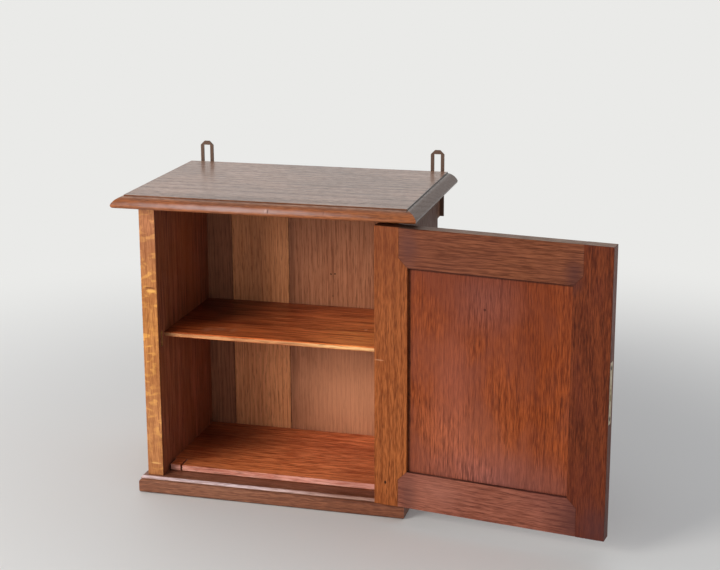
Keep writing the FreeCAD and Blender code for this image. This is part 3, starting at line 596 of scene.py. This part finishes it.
bottomRail = {
    **doorRail, "heart": (-0.05, 0.14, 0.8), "dark": tone(106, 54, 38), "light": tone(158, 96, 76),
    "pores": 0.55, "poreTone": tone(62, 28, 20), "stain": tone(112, 62, 56), "stainAmount": 0.4,
    # the upper faces dark, painted shade at the panel's edge
    "faces": [{"toward": upward, "dark": tone(56, 26, 18), "light": tone(84, 46, 34)}],
    "marks": [
        endHaze((0.1958, -0.1471, 0.0455), (0.014, 0.02, 0.03)),
        endHaze((0.418, -0.1806, 0.048), (0.042, 0.02, 0.04), tone(78, 42, 38), 0.85),
        endHaze((0.235, -0.153, 0.056), (0.04, 0.02, 0.03), tone(172, 112, 94), 0.4),
    ],
}
dress(["door_bottom_rail"], oakMaterial("oakBottomRail", bottomRail))


# a cloudy patch of polish, partly a painted sheen, which changes the hue and not the brightness
def cloudy(centre, size, amount, colour=tone(126, 71, 60), ragged=30.0, soft=0.75):
    return spot(centre, size, colour, amount, ragged, soft, "COLOR")


doorPanel = {
    **doorPlain, "heart": (-0.34, 0.2, -0.2), "dark": tone(90, 33, 11), "light": tone(160, 79, 37),
    "streak": 0.0007, "shortness": 0.05, "stain": tone(124, 64, 46), "stainAmount": 0.65, "stainSize": 0.06,
    "wear": 0.0, "roughLow": 0.32, "roughHigh": 0.46,
    "marks": [
        # painted shade at the top and the right, painted light at the left and below
        spot((0.3, -0.158, 0.39), (0.16, 0.05, 0.15), tone(98, 41, 22), 0.65, ragged=30.0, soft=0.7),
        tintAndShading((0.364, -0.168, 0.255), (0.033, 0.03, 0.12), 0.86, 0.76, 0.52),
        tintAndShading((0.245, -0.15, 0.205), (0.03, 0.03, 0.075), 1.25, 1.25, 1.05),
        tintAndShading((0.27, -0.155, 0.123), (0.075, 0.03, 0.05), 1.3, 1.42, 1.4),
        cloudy((0.255, -0.153, 0.125), (0.07, 0.03, 0.06), 0.55, tone(140, 78, 58)),
        cloudy((0.295, -0.157, 0.313), (0.05, 0.03, 0.042), 0.7),
        cloudy((0.255, -0.15, 0.205), (0.03, 0.03, 0.07), 0.35),
        cloudy((0.31, -0.16, 0.075), (0.14, 0.03, 0.045), 0.9, tone(130, 76, 66)),
        # painted shadow in the groove at the left and the top, where the frame's edges shade the panel
        spot((0.1925, -0.142, 0.21), (0.005, 0.01, 0.26), tone(14, 5, 4), 0.97, ragged=200.0, soft=0.5),
        spot((0.3, -0.158, 0.3425), (0.5, 0.1, 0.002), tone(46, 20, 13), 0.75, ragged=200.0, soft=0.5),
        # a dark stroke and a hole
        spot((0.3912, -0.172, 0.196), (0.0024, 0.004, 0.012), tone(72, 28, 14), 0.7),
        spot((0.2925, -0.157, 0.3008), (0.0022, 0.004, 0.0022), tone(60, 26, 20), 0.8),
    ],
}
dress(["door_panel"], oakMaterial("oakPanel", doorPanel))

dowels = {"dark": tone(190, 150, 104), "light": tone(216, 182, 138), "pores": 0.2}
dress(["case_dowels"], oakMaterial("beechDowel", dowels))
print("oak pieces dressed")

skinCloud = {
    "detail": 5.0, "rough": 0.65, "top": 0.75, "perAmount": 0.5, "rim": 0.25,
    "speckScale": 1400.0, "speckDetail": 3.0, "speckRough": 0.6, "speckRim": (0.55, 0.7), "specks": 0.4,
    "speckHeight": 0.3,
}


# old metal with a darker skin that wears through
def makeTarnish(cloud):
    group, given, out = startGroup("tarnish", [
        ("Vector", "Vector", None), ("Metal", "Color", None), ("Skin", "Color", None),
        ("Amount", "Float", 0.5), ("Size", "Float", 0.006),
    ], [("Color", "Color"), ("Skin", "Float"), ("Height", "Float")])
    scale = calc(group, "DIVIDE", 1.0, given["Size"])
    patch = noise(group, given["Vector"], scale, cloud["detail"], cloud["rough"])["Fac"]
    low = calc(group, "SUBTRACT", cloud["top"], times(group, given["Amount"], cloud["perAmount"]))
    skin = ramp(group, patch, low, calc(group, "SUBTRACT", low, cloud["rim"]), 1.0, 0.0)
    speck = noise(group, given["Vector"], cloud["speckScale"], cloud["speckDetail"],
                  cloud["speckRough"])["Fac"]
    colour = mixColour(group, skin, given["Metal"], given["Skin"])
    specks = times(group, ramp(group, speck, *cloud["speckRim"]), cloud["specks"])
    colour = mixColour(group, specks, colour, given["Skin"])
    group.links.new(colour, out["Color"])
    group.links.new(skin, out["Skin"])
    height = calc(group, "ADD", patch, times(group, speck, cloud["speckHeight"]))
    group.links.new(height, out["Height"])
    return group


groups["tarnish"] = makeTarnish(skinCloud)

# what every metal piece has unless its own dictionary says otherwise
metalPlain = {"wearWidth": 0.001, "patchiness": 0.4, "arris": 0.0004, "wear": 0.7, "grimeAndShade": 0.6,
              "bareMetal": 1.0, "bump": 0.3, "bumpDepth": 0.0002}


def metalMaterial(name, changes):
    look = {**metalPlain, **changes}
    material, tree, shader = newMaterial(name)
    where = put(tree, "ShaderNodeTexCoord").outputs["Object"]
    skin = place(tree, "tarnish", {"Vector": where, "Metal": look["metal"], "Skin": look["skin"],
                                   "Amount": look["amount"], "Size": look["size"]})
    rub = place(tree, "wear", {"Vector": where, "Width": look["wearWidth"], "Patchiness": look["patchiness"],
                               "Arris": look["arris"]})
    colour = mixColour(tree, times(tree, rub["Wear"], look["wear"]), skin["Color"], look["bright"])
    colour = mixColour(tree, times(tree, rub["Grime And Shade"], look["grimeAndShade"]), colour, look["skin"])
    tree.links.new(colour, shader.inputs["Base Color"])
    rough = ramp(tree, skin["Skin"], 0.0, 1.0, look["shine"], look["dull"])
    tree.links.new(rough, shader.inputs["Roughness"])
    metallic = ramp(tree, skin["Skin"], 0.0, 1.0, look["bareMetal"], look["skinMetal"])
    tree.links.new(metallic, shader.inputs["Metallic"])
    sockets = {"Strength": look["bump"], "Distance": look["bumpDepth"], "Height": skin["Height"],
               "Normal": rub["Normal"]}
    bump = put(tree, "ShaderNodeBump", sockets)
    tree.links.new(bump.outputs["Normal"], shader.inputs["Normal"])
    return material


iron = {"metal": tone(142, 130, 122), "skin": tone(118, 94, 80), "bright": tone(176, 164, 156),
        "amount": 0.7, "size": 0.006, "shine": 0.42, "dull": 0.7, "skinMetal": 0.3}
dress(["hanger_left", "hanger_right"], metalMaterial("hangerIron", iron))
screwSteel = {**iron, "metal": tone(120, 112, 104), "skin": tone(78, 66, 58), "amount": 0.5, "size": 0.003}
screws = ["hanger_screws", "rear_rail_screws", "hinge_case_screws", "hinge_door_screws", "lock_face_screws",
          "keyhole_plate_pins"]
dress(screws, metalMaterial("screwSteel", screwSteel))
lockSteel = {**iron, "metal": tone(128, 124, 120), "skin": tone(84, 74, 66), "amount": 0.4, "size": 0.008}
dress(["lock_case", "lock_cap"], metalMaterial("lockSteel", lockSteel))
keySteel = {**iron, "metal": tone(134, 128, 120), "skin": tone(72, 58, 48), "amount": 0.45, "size": 0.004,
            "shine": 0.32}
dress(["key"], metalMaterial("keySteel", keySteel))

brass = {"metal": tone(196, 158, 92), "skin": tone(110, 82, 46), "bright": tone(226, 196, 134),
         "amount": 0.45, "size": 0.008, "shine": 0.28, "dull": 0.55, "skinMetal": 0.7}
hingePieces = []
for level in ("lower", "upper"):
    hingePieces += [f"{level}_hinge_{part}" for part in ("case_leaf", "door_leaf", "pin")]
dress(hingePieces, metalMaterial("hingeBrass", brass))
lockBrass = {**brass, "metal": tone(206, 178, 122), "skin": tone(142, 116, 76)}
dress(["lock_bolt", "keyhole_plate"], metalMaterial("lockBrass", lockBrass))
faceBrass = {**brass, "metal": tone(222, 210, 186), "skin": tone(184, 168, 140),
             "bright": tone(236, 228, 210)}
dress(["lock_face_plate"], metalMaterial("faceBrass", faceBrass))
print("metal pieces dressed")

# pale floor, lighter further away
floor = {
    "radius": 9.0, "sides": 96, "drop": -0.0002, "middle": (0.12, -0.05, 0.0),
    "near": tone(226, 226, 224), "far": tone(234, 234, 232), "paler": (0.3, 1.1), "glow": (0.5, 1.4),
    "mottleScale": 6.0, "mottleDetail": 3.0, "mottleRim": (0.3, 0.7), "mottle": (0.0, 0.04),
    "rough": 0.6, "specular": 0.25,
}
floorMesh = bpy.data.meshes.new("studioFloor")
rim = []
for step in range(floor["sides"]):
    turn = 2 * math.pi * step / floor["sides"]
    rim.append((floor["radius"] * math.cos(turn), floor["radius"] * math.sin(turn), floor["drop"]))
floorMesh.from_pydata(rim, [], [list(range(floor["sides"]))])
floorPiece = bpy.data.objects.new("studioFloor", floorMesh)
bpy.context.scene.collection.objects.link(floorPiece)
floorMaterial, tree, shader = newMaterial("studioFloor")
where = put(tree, "ShaderNodeTexCoord").outputs["Object"]
distance = vectorCalc(tree, "LENGTH", vectorCalc(tree, "SUBTRACT", where, floor["middle"]))
pale = mixColour(tree, ramp(tree, distance, *floor["paler"]), floor["near"], floor["far"])
mottle = noise(tree, where, floor["mottleScale"], floor["mottleDetail"])["Fac"]
mottle = ramp(tree, mottle, *floor["mottleRim"], *floor["mottle"])
pale = mixColour(tree, mottle, pale, floor["far"])
tree.links.new(pale, shader.inputs["Base Color"])
shader.inputs["Roughness"].default_value = floor["rough"]
shader.inputs["Specular IOR Level"].default_value = floor["specular"]
glow = put(tree, "ShaderNodeEmission", {"Color": floor["far"]}).outputs[0]
rays = put(tree, "ShaderNodeLightPath").outputs
seen = calc(tree, "MAXIMUM", rays["Is Camera Ray"], rays["Is Glossy Ray"])
share = times(tree, seen, ramp(tree, distance, *floor["glow"]))
final = put(tree, "ShaderNodeMixShader", {0: share, 1: shader.outputs[0], 2: glow}).outputs[0]
tree.links.new(final, tree.nodes["Material Output"].inputs["Surface"])
floorMesh.materials.append(floorMaterial)

# the room: a pale wall behind, dimmer in front, and a window's glow on polished faces
air = {
    "tint": tone(250, 251, 255), "seen": tone(234, 234, 232),
    "depth": (-0.7, 0.7), "front": 0.22, "back": 0.6, "ceiling": (0.3, 1.0), "above": 0.3,
    "rightward": (0.0, 0.9), "right": 0.7, "mirrorDepth": (-0.5, 0.3), "mirrorFront": 0.3,
    "window": (-0.59, -0.75, 0.29), "windowRim": (0.86, 0.97), "windowGlow": 1.5,
}
world = bpy.data.worlds.new("studioAir")
bpy.context.scene.world = world
world.use_nodes = True
tree = world.node_tree
direction = put(tree, "ShaderNodeTexCoord").outputs["Generated"]
toward = put(tree, "ShaderNodeSeparateXYZ", {0: direction}).outputs
soft = tree.nodes["Background"]
soft.inputs["Color"].default_value = air["tint"]
level = ramp(tree, toward["Y"], *air["depth"], air["front"], air["back"])
level = calc(tree, "ADD", level, ramp(tree, toward["Z"], *air["ceiling"], 0.0, air["above"]))
level = times(tree, level, ramp(tree, toward["X"], *air["rightward"], 1.0, air["right"]))
tree.links.new(level, soft.inputs["Strength"])
mirrored = ramp(tree, toward["Y"], *air["mirrorDepth"], air["mirrorFront"])
facing = vectorCalc(tree, "DOT_PRODUCT", direction, air["window"])
mirrored = calc(tree, "ADD", mirrored, ramp(tree, facing, *air["windowRim"], 0.0, air["windowGlow"]))
mirrored = put(tree, "ShaderNodeBackground", {"Color": air["seen"], "Strength": mirrored}).outputs[0]
shown = put(tree, "ShaderNodeBackground", {"Color": air["seen"], "Strength": 1.0}).outputs[0]
rays = put(tree, "ShaderNodeLightPath").outputs
shiny = calc(tree, "MAXIMUM", rays["Is Glossy Ray"], rays["Is Transmission Ray"])
both = put(tree, "ShaderNodeMixShader", {0: shiny, 1: soft.outputs[0], 2: mirrored}).outputs[0]
both = put(tree, "ShaderNodeMixShader", {0: rays["Is Camera Ray"], 1: both, 2: shown}).outputs[0]
tree.links.new(both, tree.nodes["World Output"].inputs["Surface"])

# lamps stand around the target, in degrees and metres; polished faces don't mirror them
lamps = {
    "windowLight": {"around": -38, "up": 17, "away": 3.0, "size": 1.3, "power": 70,
                    "tint": (1.0, 0.97, 0.93)},
    "roomFill": {"around": 10, "up": 10, "away": 3.4, "size": 2.6, "power": 22,
                 "tint": (0.97, 0.98, 1.0)},
}
target = Vector((0.08, -0.05, 0.2))
for name, lamp in lamps.items():
    light = bpy.data.lights.new(name, "AREA")
    light.energy = lamp["power"]
    light.size = lamp["size"]
    light.color = lamp["tint"]
    piece = bpy.data.objects.new(name, light)
    around = math.radians(lamp["around"])
    up = math.radians(lamp["up"])
    back = Vector((math.sin(around) * math.cos(up), -math.cos(around) * math.cos(up), math.sin(up)))
    piece.location = target + back * lamp["away"]
    piece.rotation_euler = back.to_track_quat("Z", "Y").to_euler()
    piece.visible_glossy = False
    bpy.context.scene.collection.objects.link(piece)
print("floor and lights placed")

# the photograph's viewing angle; the focal length is in pixels of a picture 720 wide
eye = {"place": (0.60758, -1.95634, 0.82302), "yaw": 15.780, "pitch": -14.137, "roll": -0.466,
       "focal": 1554.55, "picture": 720, "film": 36.0, "shift": (0.04, -0.035)}
camera = bpy.data.cameras.new("photoView")
camera.sensor_width = eye["film"]
camera.lens = eye["film"] * eye["focal"] / eye["picture"]
camera.shift_x, camera.shift_y = eye["shift"]
cameraPiece = bpy.data.objects.new("photoView", camera)
turnZ = Matrix.Rotation(math.radians(eye["yaw"]), 4, "Z")
turnX = Matrix.Rotation(math.radians(90 + eye["pitch"]), 4, "X")
turnRoll = Matrix.Rotation(math.radians(eye["roll"]), 4, "Z")
cameraPiece.matrix_world = Matrix.Translation(eye["place"]) @ turnZ @ turnX @ turnRoll
bpy.context.scene.collection.objects.link(cameraPiece)
bpy.context.scene.camera = cameraPiece
bpy.context.scene.view_settings.view_transform = "Standard"
print("camera placed")
